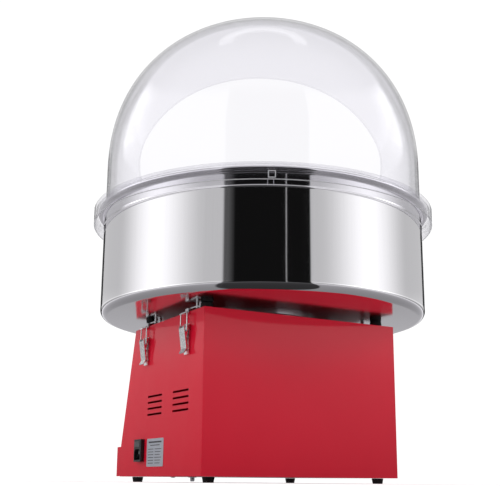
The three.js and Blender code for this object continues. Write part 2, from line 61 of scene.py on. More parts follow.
# ---------------------------------------------------------------- node graphs
class Graph:
    """A node tree that is filled one node at a time."""

    def __init__(self, tree):
        self.tree = tree
        tree.nodes.clear()

    def add(self, kind, inputs=None, **settings):
        node = self.tree.nodes.new(kind)
        for name, value in settings.items():
            setattr(node, name, value)
        for name, value in (inputs or {}).items():
            self.feed(node.inputs[name], value)
        return node

    def feed(self, socket, value):
        if isinstance(value, bpy.types.NodeSocket):
            self.tree.links.new(value, socket)
        else:
            socket.default_value = value

    def math(self, operation, a, b=0.0):
        return self.add("ShaderNodeMath", {0: a, 1: b}, operation=operation).outputs[0]

    def noise(self, vector, scale, detail=3.0, roughness=0.5):
        settings = {"Vector": vector, "Scale": scale, "Detail": detail, "Roughness": roughness}
        return self.add("ShaderNodeTexNoise", settings).outputs["Fac"]

    def remap(self, value, low, high, start=0.0, end=1.0):
        settings = {"Value": value, "From Min": start, "From Max": end, "To Min": low, "To Max": high}
        return self.add("ShaderNodeMapRange", settings).outputs["Result"]

    def tint(self, value, dark, light):
        """A colour between dark and light."""
        node = self.add("ShaderNodeMix", {"Factor": value}, data_type="RGBA")
        node.inputs[6].default_value = (*dark, 1)
        node.inputs[7].default_value = (*light, 1)
        return node.outputs[2]

    def hump(self, value, centre, half_width):
        """One at the centre, falling smoothly to nothing on both sides."""
        away = self.math("ABSOLUTE", self.math("SUBTRACT", value, centre))
        settings = {"Value": away, "From Min": half_width, "From Max": 0.0, "To Min": 0.0, "To Max": 1.0}
        node = self.add("ShaderNodeMapRange", settings, interpolation_type="SMOOTHSTEP")
        return node.outputs["Result"]

    def blend(self, a, b, share):
        """The grey a where share is nought and b where it is one."""
        difference = self.math("SUBTRACT", b, a)
        return self.math("ADD", a, self.math("MULTIPLY", difference, share))

    def bump(self, height, strength, distance):
        settings = {"Height": height, "Strength": strength, "Distance": distance}
        return self.add("ShaderNodeBump", settings).outputs["Normal"]

    def end(self, shader, kind="ShaderNodeOutputMaterial"):
        self.feed(self.add(kind).inputs["Surface"], shader)


def new_material(name):
    material = bpy.data.materials.new(name)
    material.use_nodes = True
    return material, Graph(material.node_tree)


def object_coordinates(graph):
    return graph.add("ShaderNodeTexCoord").outputs["Object"]


def powder_coat(name, dark, light, coat=0.52):
    """Semi-gloss paint with a faint orange peel and a slow drift in colour."""
    material, g = new_material(name)
    at = object_coordinates(g)
    drift = g.noise(at, 9.0, 2.0)
    peel = g.noise(at, 420.0, 1.0)
    smear = g.noise(at, 24.0, 4.0, 0.6)
    shader = g.add("ShaderNodeBsdfPrincipled", {
        "Base Color": g.tint(drift, dark, light),
        "Roughness": g.remap(smear, 0.5, 0.62, 0.3, 0.7),
        "Specular IOR Level": 0.06,
        "Coat Weight": coat,
        "Coat Roughness": 0.07,
        "Normal": g.bump(peel, 0.05, 0.0002),
    })
    g.end(shader.outputs[0])
    return material


def brushed_steel(name, base, rough, floor_z, floor_dulling, streaks=900.0, depth=0.02):
    """Polished steel with fine streaks that run up the wall and out along the floor, which is duller."""
    material, g = new_material(name)
    split = g.add("ShaderNodeSeparateXYZ", {0: object_coordinates(g)})
    x, y, z = split.outputs
    angle = g.math("ARCTAN2", x, y)
    radius = g.math("SQRT", g.math("ADD", g.math("MULTIPLY", x, x), g.math("MULTIPLY", y, y)))
    along = g.math("MULTIPLY", g.math("ADD", z, radius), 6.0)
    brushing = g.add("ShaderNodeCombineXYZ", {0: g.math("MULTIPLY", angle, streaks * 0.25), 1: along})
    fine = g.noise(brushing.outputs[0], 1.0, 4.0, 0.6)
    cloud = g.noise(object_coordinates(g), 7.0, 3.0)
    rubbed = g.math("ADD", g.math("MULTIPLY", fine, 0.6), g.math("MULTIPLY", cloud, 0.4))
    duller = g.remap(z, floor_dulling, 1.0, floor_z * MM, (floor_z + 6) * MM)
    roughness = g.math("MULTIPLY", g.remap(rubbed, rough * 0.7, rough * 1.4, 0.3, 0.7), duller)
    shader = g.add("ShaderNodeBsdfPrincipled", {
        "Base Color": g.tint(fine, [v * 0.93 for v in base], base),
        "Metallic": 1.0,
        "Roughness": roughness,
        "Normal": g.bump(fine, depth, 0.0002),
    })
    g.end(shader.outputs[0])
    return material


def metal(name, dark, light, rough, grain=160.0, depth=0.05):
    """Plated or cast metal with a fine mottle."""
    material, g = new_material(name)
    at = object_coordinates(g)
    mottle = g.noise(at, grain, 4.0, 0.6)
    fine = g.noise(at, grain * 9, 2.0)
    shader = g.add("ShaderNodeBsdfPrincipled", {
        "Base Color": g.tint(mottle, dark, light),
        "Metallic": 1.0,
        "Roughness": g.remap(mottle, rough * 0.75, rough * 1.3, 0.3, 0.7),
        "Normal": g.bump(fine, depth, 0.0001),
    })
    g.end(shader.outputs[0])
    return material


def moulded(name, dark, light, rough, grain=1400.0, depth=0.15):
    """Plastic or rubber with a fine moulded texture."""
    material, g = new_material(name)
    at = object_coordinates(g)
    patches = g.noise(at, 60.0, 3.0)
    texture = g.noise(at, grain, 2.0)
    shader = g.add("ShaderNodeBsdfPrincipled", {
        "Base Color": g.tint(patches, dark, light),
        "Roughness": g.remap(patches, rough * 0.85, rough * 1.15, 0.3, 0.7),
        "Normal": g.bump(texture, depth, 0.0001),
    })
    g.end(shader.outputs[0])
    return material


def frosted_edge(name, scatter):
    """The cut or moulded edge of clear plastic, which scatters the light that runs inside the sheet."""
    material, g = new_material(name)
    speckle = g.noise(object_coordinates(g), 500.0, 2.0)
    glow = g.tint(speckle, (0.6, 0.6, 0.62), (0.75, 0.75, 0.77))
    white = g.add("ShaderNodeBsdfTranslucent", {"Color": glow})
    surface = g.tint(speckle, (0.7, 0.7, 0.72), (0.85, 0.85, 0.87))
    matt = g.add("ShaderNodeBsdfDiffuse", {"Color": surface})
    scattered = g.add("ShaderNodeMixShader", {0: 0.5, 1: white.outputs[0], 2: matt.outputs[0]})
    through = g.add("ShaderNodeBsdfTransparent", {"Color": (0.95, 0.95, 0.96, 1)})
    mixed = g.add("ShaderNodeMixShader", {0: scatter, 1: through.outputs[0], 2: scattered.outputs[0]})
    g.end(mixed.outputs[0])
    return material


def clear_plastic(name, tint, facing_on, edge_on):
    """Thin clear plastic: it lets less light through and mirrors more at a glance."""
    material, g = new_material(name)
    at = object_coordinates(g)
    facing = g.add("ShaderNodeLayerWeight", {"Blend": 0.5}).outputs["Facing"]
    haze = g.remap(g.noise(at, 6.0, 1.0), 0.0, 0.03)
    loss = g.math("POWER", g.math("ADD", facing, haze), 8.0)
    clearness = g.blend(facing_on, edge_on, loss)
    passed = g.add("ShaderNodeVectorMath", {0: clearness, 1: tint}, operation="MULTIPLY")
    through = g.add("ShaderNodeBsdfTransparent", {"Color": passed.outputs[0]})
    ripple = g.bump(g.noise(at, 9.0, 0.0), 0.1, 0.0006)
    gloss = g.add("ShaderNodeBsdfGlossy", {"Color": (1, 1, 1, 1), "Roughness": 0.03, "Normal": ripple})
    mirror = g.math("ADD", g.math("MULTIPLY", g.math("POWER", facing, 5.0), 0.9), 0.02)
    mixed = g.add("ShaderNodeMixShader", {0: mirror, 1: through.outputs[0], 2: gloss.outputs[0]})
    g.end(mixed.outputs[0])
    return material


RED = powder_coat("red_paint", (0.81, 0.004, 0.031), (0.87, 0.006, 0.037))
DECK_RED = powder_coat("red_paint_deck", (0.81, 0.02, 0.035), (0.87, 0.025, 0.04), 0.2)
BOWL = brushed_steel("bowl_steel", (0.83, 0.82, 0.84), 0.045, 240, 4.5)
PLATED = metal("plated_steel", (0.50, 0.50, 0.52), (0.66, 0.66, 0.68), 0.28)
LATCH = metal("latch_plating", (0.82, 0.82, 0.83), (0.90, 0.90, 0.90), 0.24, depth=0.01)
CAST = metal("cast_aluminium", (0.48, 0.49, 0.50), (0.62, 0.63, 0.64), 0.36, 90.0, 0.12)
COPPER = metal("copper", (0.55, 0.27, 0.14), (0.70, 0.40, 0.24), 0.3)
RUBBER = moulded("black_rubber", (0.008, 0.008, 0.009), (0.018, 0.018, 0.019), 0.7)
BLACK = moulded("black_plastic", (0.010, 0.010, 0.011), (0.020, 0.020, 0.022), 0.42)
GREY = moulded("grey_plastic", (0.075, 0.077, 0.085), (0.11, 0.112, 0.12), 0.5)
ROCKER = moulded("red_plastic", (0.45, 0.008, 0.01), (0.58, 0.014, 0.016), 0.25, depth=0.05)
ENAMEL = moulded("motor_paint", (0.07, 0.078, 0.085), (0.10, 0.11, 0.12), 0.4, 700.0)
NEEDLE = moulded("needle_paint", (0.012, 0.012, 0.012), (0.025, 0.025, 0.025), 0.5)
CLEAR = clear_plastic("clear_dome", (0.989, 0.986, 1), 0.97, 0.82)
CUT_EDGE = frosted_edge("clear_cut_edge", 0.1)
MOULDED_EDGE = frosted_edge("clear_moulded_edge", 0.7)
WINDOW = clear_plastic("clear_window", (0.995, 1, 1), 0.98, 0.75)
WHITE = moulded("white_print", (0.72, 0.72, 0.71), (0.80, 0.80, 0.79), 0.45)
INK = moulded("dark_print", (0.02, 0.02, 0.025), (0.035, 0.035, 0.04), 0.5)
LABEL = moulded("label_face", (0.42, 0.46, 0.52), (0.50, 0.54, 0.60), 0.35, 300.0, 0.03)


# ---------------------------------------------------------------- meshes
def finish_piece(obj, material, body, nodes=(), smooth=35):
    """Gives a new piece its finish, puts it on its body and hides the CAD nodes it stands for."""
    obj.data.materials.clear()
    obj.data.materials.append(material)
    obj.data.polygons.foreach_set("use_smooth", [True] * len(obj.data.polygons))
    obj.data.set_sharp_from_angle(angle=math.radians(smooth))
    obj.modifiers.new("normals", "WEIGHTED_NORMAL").keep_sharp = True
    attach(obj, body)
    if nodes:
        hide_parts(*nodes)
    return obj


def link_mesh(name, mesh):
    obj = bpy.data.objects.new(name, mesh)
    bpy.context.scene.collection.objects.link(obj)
    return obj


def mesh_from(name, points, faces, matrix=Matrix.Identity(4)):
    """An object from points in millimetres, in a frame that matrix places in metres."""
    mesh = bpy.data.meshes.new(name)
    mesh.from_pydata([matrix @ (Vector(p) * MM) for p in points], [], faces)
    mesh.validate()
    return link_mesh(name, mesh)


def fillet(points, radius, steps=4):
    """A closed outline with every corner rounded."""
    out = []
    for i, corner in enumerate(points):
        corner = Vector(corner)
        before, after = Vector(points[i - 1]) - corner, Vector(points[(i + 1) % len(points)]) - corner
        reach = min(radius, before.length * 0.45, after.length * 0.45)
        start, end = corner + before.normalized() * reach, corner + after.normalized() * reach
        for k in range(steps + 1):
            t = k / steps
            out.append(tuple(start * (1 - t) ** 2 + corner * 2 * t * (1 - t) + end * t * t))
    return out


def arc(centre_r, centre_z, radius, start, end, steps):
    """Points of an arc, its angles in degrees from the outward direction."""
    turns = [math.radians(start + (end - start) * i / steps) for i in range(steps + 1)]
    return [(centre_r + radius * math.cos(a), centre_z + radius * math.sin(a)) for a in turns]


def turned(profile, segments=128, flutes=None):
    """A closed (radius, z) outline turned about Z. flutes(angle) scales the radius, for a ribbed knob."""
    points, rings, faces = [], [], []
    for radius, z in profile:
        count = 1 if radius < 1e-6 else segments
        rings.append([len(points) + i for i in range(count)])
        for i in range(count):
            a = 2 * math.pi * i / segments
            r = radius * (flutes(a, z) if flutes else 1)
            points.append((r * math.cos(a), r * math.sin(a), z))
    for low, high in zip(rings, rings[1:] + rings[:1]):
        if len(low) == 1 and len(high) == 1:
            continue
        for i in range(segments):
            j = (i + 1) % segments
            corners = (low[i % len(low)], low[j % len(low)], high[j % len(high)], high[i % len(high)])
            faces.append(list(dict.fromkeys(corners)))
    return points, faces


def baked(obj):
    """The same object with its modifiers or its curve turned into a plain mesh."""
    bpy.context.view_layer.update()
    mesh = bpy.data.meshes.new_from_object(obj.evaluated_get(bpy.context.evaluated_depsgraph_get()))
    name, place = obj.name, obj.matrix_world.copy()
    bpy.data.objects.remove(obj)
    mesh.transform(place)
    out = link_mesh(name, mesh)
    out.name = name
    return out


def cut_away(obj, *cutters):
    """obj with the cutters' solids removed."""
    for cutter in cutters:
        modifier = obj.modifiers.new("cut", "BOOLEAN")
        modifier.operation, modifier.solver, modifier.object = "DIFFERENCE", "EXACT", cutter
    out = baked(obj)
    for cutter in cutters:
        bpy.data.objects.remove(cutter)
    return out


def prism(outline, low, high):
    """A (x, y) outline given thickness along Z."""
    n = len(outline)
    points = [(x, y, low) for x, y in outline] + [(x, y, high) for x, y in outline]
    sides = [(i, (i + 1) % n, n + (i + 1) % n, n + i) for i in range(n)]
    return points, [tuple(range(n))[::-1], tuple(range(n, 2 * n)), *sides]


def box_outline(x0, x1, y0, y1):
    return [(x0, y0), (x1, y0), (x1, y1), (x0, y1)]


def plate(name, outline, holes, thickness, matrix, edge=0.25):
    """A flat sheet with holes and softly rounded edges, centred on its own plane."""
    curve = bpy.data.curves.new(name, "CURVE")
    curve.dimensions, curve.fill_mode = "2D", "BOTH"
    for loop in (outline, *holes):
        spline = curve.splines.new("POLY")
        spline.points.add(len(loop) - 1)
        for point, (x, y) in zip(spline.points, loop):
            point.co = (x * MM, y * MM, 0, 1)
        spline.use_cyclic_u = True
    curve.extrude = (thickness / 2 - edge) * MM
    curve.bevel_depth, curve.bevel_resolution, curve.offset = edge * MM, 2, -edge * MM
    obj = bpy.data.objects.new(name, curve)
    bpy.context.scene.collection.objects.link(obj)
    obj.matrix_world = matrix
    return baked(obj)


def rod(name, path, radius, corner, matrix=Matrix.Identity(4)):
    """A round wire along a path with its corners bent to a radius."""
    points = [Vector(path[0])]
    for before, at, after in zip(path, path[1:], path[2:]):
        before, at, after = Vector(before), Vector(at), Vector(after)
        start, end = at + (before - at).normalized() * corner, at + (after - at).normalized() * corner
        for i in range(9):
            t = i / 8
            points.append(start * (1 - t) ** 2 + at * 2 * t * (1 - t) + end * t * t)
    points.append(Vector(path[-1]))
    curve = bpy.data.curves.new(name, "CURVE")
    curve.dimensions, curve.bevel_depth, curve.bevel_resolution = "3D", radius * MM, 5
    curve.use_fill_caps = True
    spline = curve.splines.new("POLY")
    spline.points.add(len(points) - 1)
    for knot, point in zip(spline.points, points):
        knot.co = (*(point * MM), 1)
    obj = bpy.data.objects.new(name, curve)
    bpy.context.scene.collection.objects.link(obj)
    obj.matrix_world = matrix
    return baked(obj)


def smoothing():
    """A node group that shades a CAD node smooth except over its sharp edges."""
    tree = bpy.data.node_groups.new("smooth_by_angle", "GeometryNodeTree")
    tree.interface.new_socket("Geometry", in_out="INPUT", socket_type="NodeSocketGeometry")
    tree.interface.new_socket("Geometry", in_out="OUTPUT", socket_type="NodeSocketGeometry")
    g = Graph(tree)
    source = g.add("NodeGroupInput")
    angle = g.add("GeometryNodeInputMeshEdgeAngle").outputs["Unsigned Angle"]
    limits = {0: angle, 1: math.radians(32)}
    sharp = g.add("FunctionNodeCompare", limits, data_type="FLOAT", operation="GREATER_THAN")
    whole = {"Geometry": source.outputs[0], "Shade Smooth": True}
    faces = g.add("GeometryNodeSetShadeSmooth", whole, domain="FACE")
    edges = g.add("GeometryNodeSetShadeSmooth", {
        "Geometry": faces.outputs[0], "Selection": sharp.outputs[0], "Shade Smooth": False,
    }, domain="EDGE")
    g.feed(g.add("NodeGroupOutput").inputs[0], edges.outputs[0])
    return tree


SMOOTHING = smoothing()


def keep_node(node, material, edge=0.0, segments=2):
    """A CAD node that stays as it is, with softened edges and its own finish."""
    obj = frame["nodes"][node]
    obj.data.materials.clear()
    obj.data.materials.append(material)
    if edge:
        bevel = obj.modifiers.new("edges", "BEVEL")
        bevel.width, bevel.segments = edge * MM, segments
        bevel.limit_method, bevel.angle_limit = "ANGLE", math.radians(40)
    obj.modifiers.new("smooth", "NODES").node_group = SMOOTHING
    return obj


def screw_head(name, matrix, radius, body="cabinet", material=None):
    """A pan-head screw with a cross recess, seated at the matrix's origin with its head along Z."""
    height = radius * 0.6
    profile = [(0, 0), (radius, 0)] + [
        (radius * math.cos(t), height * (0.35 + 0.65 * math.sin(t)))
        for t in (math.radians(a) for a in range(0, 90, 15))
    ] + [(0, height)]
    points, faces = turned(profile, 32)
    head = mesh_from(name, points, faces, matrix)
    arm, width = radius * 0.5, radius * 0.11
    bars = []
    for reach_x, reach_y in ((arm, width), (width, arm)):
        outline = box_outline(-reach_x, reach_x, -reach_y, reach_y)
        bars.append(mesh_from("bar", *prism(outline, height * 0.45, height * 2), matrix))
    return finish_piece(cut_away(head, *bars), material or PLATED, body, smooth=40)


# ---------------------------------------------------------------- cabinet
DECK_LOW, _ = span("top_deck")
SIDE_LOW, SIDE_HIGH = span("right_side_panel")
SLANT_Z = 55  # where the side panels' front edge starts to lean back
TILT = math.atan2(DECK_LOW.y - SIDE_LOW.y, SIDE_HIGH.z - SLANT_Z)
LEAN = Matrix.Rotation(math.pi / 2 - TILT, 4, "X")
PANEL = Matrix.Translation(Vector((0, SIDE_LOW.y, SLANT_Z)) * MM) @ LEAN
VENT_CENTRES, VENT_TOP, VENT_PITCH, VENT_LENGTH, VENT_HEIGHT = (-38, 51.5), 124.2, 8.9, 52, 2.8


def side_plane(x):
    """Local X runs to the rear, local Y up and local Z to the right, at this x in millimetres."""
    turn = Matrix(((0, 0, 1, 0), (1, 0, 0, 0), (0, 1, 0, 0), (0, 0, 0, 1)))
    return Matrix.Translation((x * MM, 0, 0)) @ turn


def side_panels():
    inlet_low, inlet_high = span("inlet_housing")
    for side, sign in (("right", 1), ("left", -1)):
        outline = fillet([
            (SIDE_LOW.y, SIDE_LOW.z), (SIDE_HIGH.y, SIDE_LOW.z), (SIDE_HIGH.y, SIDE_HIGH.z),
            (DECK_LOW.y, SIDE_HIGH.z), (SIDE_LOW.y, SLANT_Z),
        ], 1.2, 3)
        holes = []
        for centre in VENT_CENTRES:
            for row in range(4):
                z = VENT_TOP - row * VENT_PITCH
                half, tall = VENT_LENGTH / 2, VENT_HEIGHT / 2
                holes.append(fillet(box_outline(centre - half, centre + half, z - tall, z + tall), tall, 5))
        if sign > 0:
            lip = 1.5
            holes.append(box_outline(
                inlet_low.y + lip, inlet_high.y - lip, inlet_low.z + lip, inlet_high.z - lip,
            ))
        node = f"{side}_side_panel"
        low, high = span(node)
        panel = plate(f"{side}_panel", outline, holes, high.x - low.x, side_plane((low.x + high.x) / 2))
        finish_piece(panel, RED, "cabinet", [node])


def cabinet():
    side_panels()
    for node in ("rear_panel", "base_pan", "front_panel", "drawer_box"):
        keep_node(node, RED, 0.4)
    keep_node("top_deck", DECK_RED, 0.4)
    keep_node("drawer_bay", PLATED, 0.3)
    for i, (u, v) in enumerate(((-150, 9), (150, 9), (-150, 172), (150, 172))):
        screw_head(f"panel_screw_{i}", PANEL @ Matrix.Translation((u * MM, v * MM, 0)), 3.2)
    under = Matrix.Rotation(math.pi, 4, "X")
    floor_z = span("base_pan")[0].z
    rivet = fillet([(0, 0), (3.4, 0), (3.0, 1.3), (0, 1.5)], 0.6)
    points, faces = turned([(max(r, 0), z) for r, z in rivet], 32)
    at = Matrix.Translation(Vector((110, -77, floor_z)) * MM) @ under
    finish_piece(mesh_from("base_rivet", points, faces, at), PLATED, "cabinet")
    washer = [(0, 0), (6, 0), (6, 1.1), (3.2, 1.1), (3.2, 4.6), (2.8, 6.4), (0, 6.6)]
    points, faces = turned(fillet(washer, 0.35), 40)
    at = Matrix.Translation(Vector((110, -10, floor_z)) * MM) @ under
    finish_piece(mesh_from("earth_post", points, faces, at), PLATED, "cabinet")


def feet_and_pads():
    for end in ("front", "rear"):
        for side in ("left", "right"):
            low, high = span(f"foot_{end}_{side}")
            centre = (low + high) / 2
            top = (high.x - low.x) / 2
            profile = fillet([(0, low.z), (top - 1.4, low.z), (top, high.z), (0, high.z)], 0.9)
            place = Matrix.Translation(Vector((centre.x, centre.y, 0)) * MM)
            foot = mesh_from(f"rubber_foot_{end}_{side}", *turned(profile, 48), place)
            finish_piece(foot, RUBBER, "cabinet", [f"foot_{end}_{side}"])
            low, high = span(f"bowl_pad_{end}_{side}")
            centre = (low + high) / 2
            r = (high.x - low.x) / 2
            profile = fillet([
                (0, low.z), (r - 0.6, low.z), (r, centre.z), (r - 0.6, high.z), (0, high.z),
            ], 1)
            place = Matrix.Translation(Vector((centre.x, centre.y, 0)) * MM)
            pad = mesh_from(f"rubber_pad_{end}_{side}", *turned(profile, 48), place)
            finish_piece(pad, RUBBER, "cabinet", [f"bowl_pad_{end}_{side}"])


# ---------------------------------------------------------------- control panel
def on_panel(u=0.0, v=0.0, w=0.0, turn=0.0):
    return PANEL @ Matrix.Translation(Vector((u, v, w)) * MM) @ Matrix.Rotation(turn, 4, "Z")


METER_V, PIVOT_V, SWITCH_U, SWITCH_V, KNOB_V = 118, 102, 82, 118, 52


def strips(name, bars, height, matrix, material, body):
    """Printed bars as thin raised strips. Each bar is (centre x, centre y, length, width, angle)."""
    points, faces = [], []
    for x, y, length, width, angle in bars:
        c, s = math.cos(angle), math.sin(angle)
        corners = box_outline(-length / 2, length / 2, -width / 2, width / 2)
        outline = [(x + a * c - b * s, y + a * s + b * c) for a, b in corners]
        bar_points, bar_faces = prism(outline, 0, height)
        faces += [tuple(len(points) + i for i in face) for face in bar_faces]
        points += bar_points
    return finish_piece(mesh_from(name, points, faces, matrix), material, body, smooth=20)


def printed(name, text, size, matrix, material, body):
    """Raised figures on a dial."""
    curve = bpy.data.curves.new(name, "FONT")
    curve.body, curve.size, curve.extrude = text, size * MM, 0.05 * MM
    curve.align_x, curve.align_y = "CENTER", "CENTER"
    obj = bpy.data.objects.new(name, curve)
    bpy.context.scene.collection.objects.link(obj)
    obj.matrix_world = matrix
    return finish_piece(baked(obj), material, body, smooth=20)


def voltmeter():
    keep_node("voltmeter_case", BLACK, 0.9, 3)
    keep_node("voltmeter_window", WINDOW, 0.2)
    card = fillet(box_outline(-26.4, 26.4, METER_V - 21.4, METER_V + 21.4), 1.5)
    face = plate("voltmeter_card", card, [], 0.3, on_panel(w=2.2), 0.08)
    finish_piece(face, WHITE, "cabinet")
    bars = []
    for i in range(31):
        a = math.radians(135 - 3 * i)
        long = i % 10 == 0
        middle = 27.5 if long else 26.6
        length = 5.0 if long else (3.2 if i % 5 == 0 else 2.0)
        bars.append((middle * math.cos(a), PIVOT_V + middle * math.sin(a), length, 0.5 if long else 0.3, a))
    for i in range(30):
        a = math.radians(133.5 - 3 * i)
        bars.append((25.4 * math.cos(a), PIVOT_V + 25.4 * math.sin(a), 1.4, 0.35, a + math.pi / 2))
    strips("voltmeter_scale", bars, 0.06, on_panel(w=2.35), INK, "cabinet")
    for figure, degrees in (("0", 135), ("100", 105), ("200", 75), ("300", 45)):
        a = math.radians(degrees)
        place = on_panel(21.2 * math.cos(a), PIVOT_V + 21.2 * math.sin(a), 2.36)
        printed(f"voltmeter_figure_{figure}", figure, 4.2, place, INK, "cabinet")
    printed("voltmeter_unit", "V", 6, on_panel(0, METER_V - 5, 2.36), INK, "cabinet")
    blade = [(-0.7, -5), (0.7, -5), (0.55, 4), (0.12, 25.6), (-0.12, 25.6), (-0.55, 4)]
    place = on_panel(0, PIVOT_V, 0, math.pi / 4)
    needle = mesh_from("pointer", *prism(blade, 3.0, 3.5), place)
    finish_piece(needle, NEEDLE, "needle", ["voltmeter_needle"])
    boss = fillet([(0, 2.6), (2.4, 2.6), (2.4, 4.2), (0, 4.4)], 0.5)
    finish_piece(mesh_from("pointer_boss", *turned(boss, 40), place), NEEDLE, "needle")


def switches():
    for name, body, u in (("power", "power_switch", -SWITCH_U), ("heat", "heat_switch", SWITCH_U)):
        keep_node(f"{name}_switch_case", BLACK, 0.5)
        keep_node(f"{name}_rocker", ROCKER, 0.5, 3)
        tip = math.radians(10)
        rocker = on_panel(u, SWITCH_V) @ Matrix.Rotation(tip, 4, "X")
        slope = math.atan2(4.6 - 2.6, 11.4) * 0.9
        upper = rocker @ Matrix.Translation(Vector((0, 7.2, 3.72)) * MM) @ Matrix.Rotation(slope, 4, "X")
        lower = rocker @ Matrix.Translation(Vector((0, -7.2, 3.72)) * MM) @ Matrix.Rotation(-slope, 4, "X")
        strips(f"{name}_on_mark", [(0, 0, 3.4, 0.6, math.pi / 2)], 0.12, upper, WHITE, body)
        ring = [(1.1, 0), (1.65, 0), (1.65, 0.12), (1.1, 0.12)]
        finish_piece(mesh_from(f"{name}_off_mark", *turned(ring, 32), lower), WHITE, body, smooth=30)
    legend = [(-SWITCH_U, SWITCH_V - 22, 14, 0.9, 0.0), (SWITCH_U, SWITCH_V - 22, 14, 0.9, 0.0)]
    strips("switch_legends", legend, 0.08, on_panel(w=0.02), WHITE, "cabinet")


def heat_knob():
    keep_node("heat_control", PLATED, 0.2)

    def ribs(angle, z):
        return 1 - 0.028 * (0.5 + 0.5 * math.cos(angle * 24)) if 2.5 < z < 14 else 1

    outline = [
        (3.4, 0.8), (15, 0.8), (15, 2.6), (14.2, 3.4), (13.3, 13.2), (12.6, 16), (11.4, 17),
        (0, 17), (0, 11), (3.4, 11),
    ]
    rounded = fillet(outline, 0.7, 3)
    place = on_panel(0, KNOB_V, 0, math.radians(135))
    points, faces = turned([(max(r, 0.0), z) for r, z in rounded], 192, ribs)
    knob = mesh_from("control_knob", points, faces, place)
    finish_piece(knob, BLACK, "knob", ["heat_knob"], smooth=50)
    pointer = fillet([(-0.8, 2.5), (0.8, 2.5), (0.8, 11.8), (-0.8, 11.8)], 0.5)
    finish_piece(mesh_from("knob_pointer", *prism(pointer, 16.6, 17.4), place), WHITE, "knob")
    bars = []
    for i in range(11):
        a = math.radians(225 - 27 * i)
        radius = 20.4
        bars.append((radius * math.cos(a), radius * math.sin(a), 2.0 + 0.28 * i, 0.8, a))
    strips("knob_scale", bars, 0.08, on_panel(0, KNOB_V, 0.02), WHITE, "cabinet")


# ---------------------------------------------------------------- inlet and label
def inlet():
    keep_node("inlet_housing", BLACK, 0.6, 3)
    keep_node("fuse_drawer", GREY, 0.35)
    low, high = span("inlet_housing")
    face = high.x
    centre_y = (low.y + high.y) / 2
    pin_z = low.z + 9.6
    for i, (dy, dz) in enumerate(((-7, -1.2), (7, -1.2), (0, 3.6))):
        y, z = centre_y + dy, pin_z + dz
        outline = fillet(box_outline(y - 1, y + 1, z - 2.2, z + 2.2), 0.5)
        points, faces = prism(outline, face - 15.8, face - 3.2)
        pin = mesh_from(f"inlet_pin_{i}", points, faces, side_plane(0))
        finish_piece(pin, PLATED, "cabinet")
    low, high = span("fuse_drawer")
    grip = fillet(box_outline(centre_y - 5, centre_y + 5, high.z - 2.6, high.z - 1.5), 0.4)
    points, faces = prism(grip, high.x - 0.2, high.x + 0.5)
    finish_piece(mesh_from("fuse_drawer_lip", points, faces, side_plane(0)), GREY, "fuse")


def rating_label():
    """A blank plate with generic lines beside the inlet."""
    x = SIDE_HIGH.x
    outline = fillet(box_outline(-60.8, -1.4, 22, 62.2), 2.5)
    label = plate("rating_label", outline, [], 0.3, side_plane(x + 0.16), 0.06)
    finish_piece(label, LABEL, "cabinet", smooth=30)
    bars = [(-31, 57, 46, 2.2, 0.0), (-31, 52.5, 34, 1.2, 0.0)]
    for row in range(6):
        z = 47 - row * 4.0
        bars += [(-46, z, 20, 0.9, 0.0), (-20 - (row % 3), z, 24 - 3 * (row % 3), 0.9, 0.0)]
    strips("rating_label_lines", bars, 0.05, side_plane(x + 0.31), INK, "cabinet")


# ---------------------------------------------------------------- drawer
def drawer():
    low, high = span("drawer_handle")
    radius = (high.z - low.z) / 2
    z = (low.z + high.z) / 2
    left, right = low.x + radius, high.x - radius
    front = low.y + radius
    path = [(left, high.y, z), (left, front, z), (right, front, z), (right, high.y, z)]
    finish_piece(rod("handle_bar", path, radius, 9), PLATED, "drawer", ["drawer_handle"])
    collar = fillet([(radius, 0), (radius + 3, 0), (radius + 2.2, 1.8), (radius, 2.2)], 0.5)
    for name, x in (("left", left), ("right", right)):
        place = Matrix.Translation(Vector((x, high.y, z)) * MM) @ Matrix.Rotation(math.pi / 2, 4, "X")
        piece = mesh_from(f"handle_collar_{name}", *turned(collar, 40), place)
        finish_piece(piece, PLATED, "drawer")


# ---------------------------------------------------------------- drive
def drive():
    for node, material in (
        ("spindle_pulley", CAST), ("slip_rings", COPPER), ("spindle_housing", CAST),
        ("upper_bearing", PLATED), ("lower_bearing", PLATED), ("brush_holder", BLACK),
        ("motor_body", ENAMEL), ("motor_rotor", CAST), ("drive_belt", RUBBER),
    ):
        keep_node(node, material, 0.25)
    low, high = span("spindle_shaft")
    nut_z = high.z - 15
    shaft = [(0, low.z), (6, low.z), (6, high.z - 0.8), (5.2, high.z), (0, high.z)]
    spindle = mesh_from("spindle", *turned(shaft, 64))
    finish_piece(spindle, PLATED, "spinner", ["spindle_shaft"], 30)
    hexagon = [(9.6 * math.cos(a), 9.6 * math.sin(a)) for a in (math.radians(60 * i) for i in range(6))]
    nut = mesh_from("head_nut", *prism(fillet(hexagon, 1.0), nut_z, nut_z + 8))
    finish_piece(nut, PLATED, "spinner")


